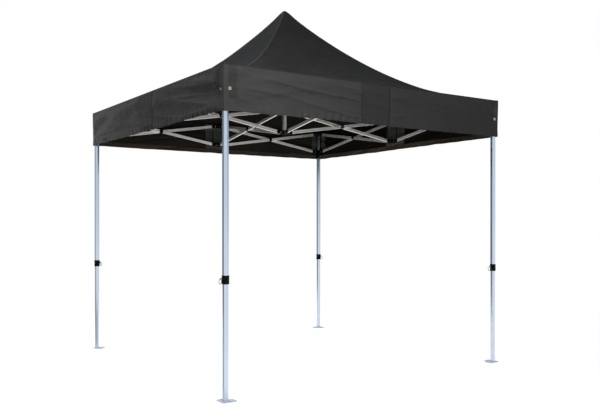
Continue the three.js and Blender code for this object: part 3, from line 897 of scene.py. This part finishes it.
def make_slider(k, corner, at):
    """The slider: a square head with two forks over a hexagonal sleeve with the slider pin's boss."""
    piece = Piece(f"slider_block_{corner}", PLASTIC, STEEL)
    bore = sleeve_bore(at)
    head = moved(centred(HEAD_HALF, HEAD_HALF, 0.005), at)
    piece.extrude(HERE, head, LOW_Z - 0.020, SLIDER_Z[1], 0, [bore])
    sleeve = leg_hexagon(at, SLEEVE_R, 0.004)
    piece.extrude(HERE, sleeve, SLIDER_Z[0], LOW_Z - 0.019, 0, [bore])
    band = leg_hexagon(at, BAND_R, 0.0045)
    piece.extrude(HERE, band, SLIDER_Z[0] + 0.0015, SLIDER_Z[0] + 0.007, 0, [bore])
    add_head_faces(piece, k, at, LOW_Z)
    add_boss(piece, SLIDER_PIN_SIDE[k], at + UP * SLIDER_PIN_Z, 0.0262, 0.0335, 0.028)
    add_fork(piece, k + 3, at, BAR_OFFSET, LEG_PIN, LOW_Z)
    add_fork(piece, k + 2, at, -BAR_OFFSET, LEG_PIN, LOW_Z)
    piece.done(f"slider_{corner}", f"slider_{corner}")


def make_ring_pin(body, k, at, z):
    """A spring pin: shaft, knob and its hanging pull ring."""
    piece = Piece(f"{body}_with_ring", STEEL, BLACK_STEEL)
    place = placed_at(at + UP * z, out(k + 1), UP)
    knob = [(0, 0.026), (0.0036, 0.026), (0.0036, 0.034), (0.0075, 0.034), (0.0080, 0.0355), (0.0080, 0.0385),
            (0.0070, 0.040), (0.0036, 0.040), (0.0036, 0.0455), (0.0030, 0.0463), (0, 0.0463)]
    piece.lathe(place, knob)
    wire = [(0.020 + x, RING_AT + y) for x, y in circle(0.002, 10)]
    piece.lathe(place @ Matrix.Translation((0, -0.019, 0)), wire, 1, 44, ring=True)
    piece.done(body, body, slot="pin_steel", edge=0.0003)


def make_inner_leg(k, corner, at):
    """A hexagonal tube welded to its L-shaped foot plate."""
    piece = Piece(f"inner_leg_and_foot_{corner}", LEG_METAL, FOOT_METAL)
    tube, bore = leg_hexagon(at, INNER_R, 0.0024), leg_hexagon(at, INNER_R - 0.0019, 0.0018)
    piece.extrude(HERE, tube, 0.004, INNER_TOP_Z, 0, [bore])
    o, w, r = FOOT_OUT, FOOT_TAB_EDGE, FOOT_TAB_END
    outline = rounded_outline([(o, o), (r, o), (r, w), (w, w), (w, r), (o, r)], 0.014, 5)

    def turned(points):
        return [(at + out(k) * x + out(k + 1) * y).xy for x, y in points]

    middles = (Vector((-STAKE_HOLE_AT, 0.002)), Vector((0.002, -STAKE_HOLE_AT)))
    holes = [turned(moved(circle(0.006, 20), middle)) for middle in middles]
    piece.extrude(HERE, turned(outline), 0, FOOT_THICK, 1, holes)
    rings = []
    for more, z in ((-0.001, 0.0095), (0.0016, 0.0088), (0.0036, 0.0070), (0.0048, 0.0044), (-0.001, 0.0044)):
        weld = leg_hexagon(Vector(), INNER_R + more, 0.004)
        wobble = [1 + 0.012 * math.sin(11 * i + 40 * (INNER_R + more)) for i in range(len(weld))]
        rings.append([(at.x + x * f, at.y + y * f, z) for (x, y), f in zip(weld, wobble)])
    n = len(rings[0])
    faces = [(i * n + j, i * n + (j + 1) % n, (i + 1) % 5 * n + (j + 1) % n, (i + 1) % 5 * n + j)
             for i in range(5) for j in range(n)]
    piece.shell(HERE, [p for ring in rings for p in ring], faces, 1)
    piece.done(f"inner_leg_{corner}", f"leg_inner_{corner}", slot="leg_aluminium")


def make_legs():
    for k, corner in enumerate(CORNERS):
        at = corner_at(k)
        make_outer_leg(k, corner, at)
        make_collar(k, corner, at)
        make_slider(k, corner, at)
        make_inner_leg(k, corner, at)
        make_ring_pin(f"height_pin_{corner}", HEIGHT_PIN_SIDE[k], at, HEIGHT_PIN_Z)
        make_ring_pin(f"slider_pin_{corner}", SLIDER_PIN_SIDE[k], at, SLIDER_PIN_Z)


# ---- cover: sewn-on details ---------------------------------------------------------------
EYELET_IN = 0.050                       # eyelet's centre, from the cover's corner
EYELET_Z = HEM_Z + 0.166
TAPE_HALF = 0.012                       # half a hip tape's width


def make_eyelets():
    """A brass eyelet beside each corner on both faces: a rolled rim round a disc of dark lining cloth,
    painted shade for the hole.
    """
    rim = [(0.0062, 0.0), (0.0125, 0.0), (0.0122, 0.0012), (0.0105, 0.0022), (0.0080, 0.0024),
           (0.0064, 0.0014)]
    for k, corner in enumerate(CORNERS):
        for side, along in ((k, 1), (k + 1, -1)):
            s = along * (W - EYELET_IN)
            point = valance_point(side % 4, s, EYELET_Z)
            piece = Piece(f"eyelet_{corner}_{SIDES[side % 4]}", BRASS, LINING)
            place = placed_at(point + out(side) * 0.0002, out(side + 1), UP)
            piece.lathe(place, rim, 0, 28, ring=True)
            # The disc inside the rim is painted shade: dark lining cloth standing for the shaded hole.
            piece.lathe(place, [(0, -0.0006), (0.0066, -0.0006), (0.0066, 0.0005), (0, 0.0005)], 1, 24)
            piece.done(f"leg_{corner}", slot="pin_steel", edge=0.0002)


def make_straps():
    """Two hook-and-loop straps on each side: a loop round the lower bars and a tail up to the cloth."""
    thick, aside = 0.0016, 0.078
    z = LOW_Z + (aside - MID_PIN) / (A - LEG_PIN - MID_PIN) * OPEN_RISE
    inner, outer = centred(0.0090, 0.0172, 0.003), centred(0.0090 + thick, 0.0172 + thick, 0.0045)
    knot = rectangle((-0.0145, -0.022), (-0.0100, 0.004), 0.0015)
    path = [(-0.0098, 0.014), (-0.0112, 0.040), (-0.0100, 0.080), (-0.0080, 0.120), (-0.0070, 0.150)]
    tail = [(x - thick / 2, y) for x, y in path] + [(x + thick / 2, y) for x, y in reversed(path)]
    for k, side in enumerate(SIDES):
        for way in (1, -1):
            middle = out(k) * (A - BAR_OFFSET) + out(k + 1) * way * aside + UP * z
            place = placed_at(middle, out(k), UP)
            piece = Piece(f"strap_{side}_{'a' if way > 0 else 'b'}", WEBBING)
            piece.extrude(place, outer, -0.009, 0.009, 0, [inner])
            piece.extrude(place, knot, -0.0095, 0.0095)
            piece.extrude(place, tail, -0.0085, 0.0085)
            piece.done(f"middle_{side}_lower", slot="black_polyester", edge=0.0003)


def make_hip_tape(name, k, rows):
    """A length of tape sewn over hip k, between the given square radii."""
    across = [(TAPE_HALF, 0.0006), (TAPE_HALF - 0.0015, 0.0016), (TAPE_HALF - 0.0035, 0.0011), (0.004, 0.002)]
    points = []
    for w in rows:
        points += [roof_point(k, w, w - d) + UP * rise for d, rise in across]
        points.append(roof_point(k, w, w) + UP * 0.0024)
        points += [roof_point((k + 1) % 4, w, d - w) + UP * rise for d, rise in reversed(across)]
    faces = grid_faces(len(rows), 9, flip=True)
    obj = mesh_object(name, points, faces, [TAPE_CLOTH, LINING])
    sharp_border(obj)
    return obj


def make_hip_tapes():
    """Tape along each hip, from the peak to the eave's corner, in two lengths."""
    low = spaced(EAVE_BAND, W - EAVE_ROUND, 0.020) + [W - EAVE_ROUND * (1 - (i + 1) / 4) for i in range(3)]
    for k, corner in enumerate(CORNERS):
        tape = make_hip_tape(f"hip_tape_{corner}", k, spaced(0.030, EAVE_BAND, 0.020))
        fold_gore(tape, roof_point(k, EAVE_BAND, EAVE_BAND))
        thicken(tape)
        tape = make_hip_tape(f"hip_tape_end_{corner}", k, low)
        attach(tape, f"leg_{corner}")
        thicken(tape)


def make_hem_bands():
    """The hem's turned-in inner band on each side."""
    for k, side in enumerate(SIDES):
        columns = spaced(-W + 0.004, W - 0.004, 0.014)
        rows = spaced(HEM_Z + 0.002, HEM_Z + HEM_INSIDE_HIGH, 0.008)
        points = [valance_point(k, s, z) - out(k) * 0.0022 for z in rows for s in columns]
        faces = grid_faces(len(rows), len(columns))
        obj = mesh_object(f"hem_band_{side}", points, faces, [HEM_INSIDE, HEM_INSIDE])
        sharp_border(obj)
        ride_valance(obj, k)
        thicken(obj)


make_hubs()
make_mast()
make_middles()
make_bars()
make_legs()
make_eyelets()
make_straps()
make_hip_tapes()
make_hem_bands()


# ---- floor, light and camera --------------------------------------------------------------
def mix_shaders(tree, share, first, second, end):
    """Blends two shaders by share into the tree's end node."""
    both = node(tree, "ShaderNodeMixShader")
    for socket, value in zip(both.inputs, (share, first.outputs[0], second.outputs[0])):
        feed(tree, socket, value)
    tree.links.new(both.outputs[0], tree.nodes[end].inputs["Surface"])


def make_floor():
    """White paper, lit near the feet and evenly white further off; it lights the cloth less than the eye."""
    material, tree, shader = new_material("floor", grey(0.93), 0.8)
    cloud = noise_of(tree, coordinates(tree), 0.6, 2.0)
    feed(tree, shader.inputs["Base Color"], mix_colours(tree, cloud, grey(0.90), grey(0.94)))
    place = node(tree, "ShaderNodeTexCoord").outputs["Object"]
    reach = node(tree, "ShaderNodeVectorMath", operation="LENGTH")
    feed(tree, reach.inputs[0], place)
    rays = node(tree, "ShaderNodeLightPath").outputs
    parts = node(tree, "ShaderNodeSeparateXYZ", Vector=place).outputs
    in_front = ramp(tree, parts["Y"], 1.0, 0.2, -1.9, -1.1)
    bright = calculate(tree, "MAXIMUM", in_front, ramp(tree, parts["X"], 0.2, 0.95, -1.8, -1.2))
    mirrored = calculate(tree, "MULTIPLY", rays["Is Glossy Ray"], bright)
    cast = calculate(tree, "MULTIPLY", rays["Is Diffuse Ray"], 0.42)
    indirect = calculate(tree, "MAXIMUM", mirrored, cast)
    strength = calculate(tree, "MAXIMUM", rays["Is Camera Ray"], indirect)
    glow = node(tree, "ShaderNodeEmission", Color=(1, 1, 1, 1), Strength=strength)
    share = ramp(tree, reach.outputs["Value"], 0.84, 1.0, 2.0, 6.0)
    mix_shaders(tree, share, shader, glow, "Material Output")
    size = 60.0
    points = [(-size, -size, 0), (size, -size, 0), (size, size, 0), (-size, size, 0)]
    floor = mesh_object("floor", points, [(0, 1, 2, 3)], [material], smooth=False)
    floor.location.z = -0.0005


def make_world():
    """White to the eye; metal mirrors most of it to the front left, and it casts less light than it shows."""
    world = bpy.data.worlds.new("studio")
    bpy.context.scene.world = world
    world.use_nodes = True
    tree = world.node_tree
    seen = tree.nodes["Background"]
    seen.inputs["Color"].default_value = (1, 1, 1, 1)
    seen.inputs["Strength"].default_value = 1.0
    place = node(tree, "ShaderNodeTexCoord").outputs["Generated"]
    x, y, z = node(tree, "ShaderNodeSeparateXYZ", Vector=place).outputs

    def along(east, north):
        parts = calculate(tree, "MULTIPLY", x, east), calculate(tree, "MULTIPLY", y, north)
        return calculate(tree, "ADD", *parts)

    front = ramp(tree, along(-0.53, -0.85), 0.74, 0.95, -0.6, 0.9)
    screen = ramp(tree, along(-0.88, 0.47), 1.0, 0.27, 0.15, 0.85)
    overhead = ramp(tree, z, 1.0, 0.5)
    mirrored = calculate(tree, "MULTIPLY", calculate(tree, "MULTIPLY", front, screen), overhead)
    rays = node(tree, "ShaderNodeLightPath").outputs
    not_cast = calculate(tree, "SUBTRACT", 1.0, rays["Is Diffuse Ray"])
    dimmed = calculate(tree, "MAXIMUM", ramp(tree, z, 0.17, 0.36, 0.1, 0.8), not_cast)
    level = calculate(tree, "MULTIPLY", mirrored, dimmed)
    tint = mix_colours(tree, front, (0.95, 0.97, 1.0), (0.90, 0.95, 1.0))
    lit = node(tree, "ShaderNodeBackground", Color=tint, Strength=level)
    mix_shaders(tree, rays["Is Camera Ray"], lit, seen, "World Output")


def soft_light(name, place, target, size, power, mirrored=False):
    light = bpy.data.lights.new(name, "AREA")
    light.shape, light.size = "SQUARE", size
    light.energy = power
    obj = bpy.data.objects.new(name, light)
    obj.location = place
    obj.rotation_euler = (Vector(target) - Vector(place)).to_track_quat("-Z", "Y").to_euler()
    obj.visible_camera = False
    obj.visible_glossy = mirrored
    bpy.context.collection.objects.link(obj)


def make_camera():
    data = bpy.data.cameras.new("camera")
    data.sensor_width = 36.0
    data.lens = 44.35
    data.shift_y = 0.0289
    data.clip_end = 300.0
    camera = bpy.data.objects.new("camera", data)
    camera.location = (-4.0652, -6.3411, 1.3182)
    yaw = 0.9797
    camera.rotation_euler = (math.pi / 2 - 0.003, 0, yaw - math.pi / 2)
    bpy.context.collection.objects.link(camera)
    bpy.context.scene.camera = camera


make_floor()
make_world()
soft_light("left_key", (-4.2, 4.0, 2.8), (-1.5, 1.3, 2.4), 1.2, 700)
soft_light("front_key", (-2.1, -3.7, 3.7), (-1.3, -1.5, 2.4), 0.8, 285)
soft_light("back_fill", (4.6, 4.4, 4.4), (0.8, 0.8, 2.5), 2.0, 520)
soft_light("overhead", (-1.0, 0.4, 7.5), (0, 0, 2.7), 1.8, 90, True)
make_camera()
bpy.context.scene.view_settings.view_transform = "Standard"
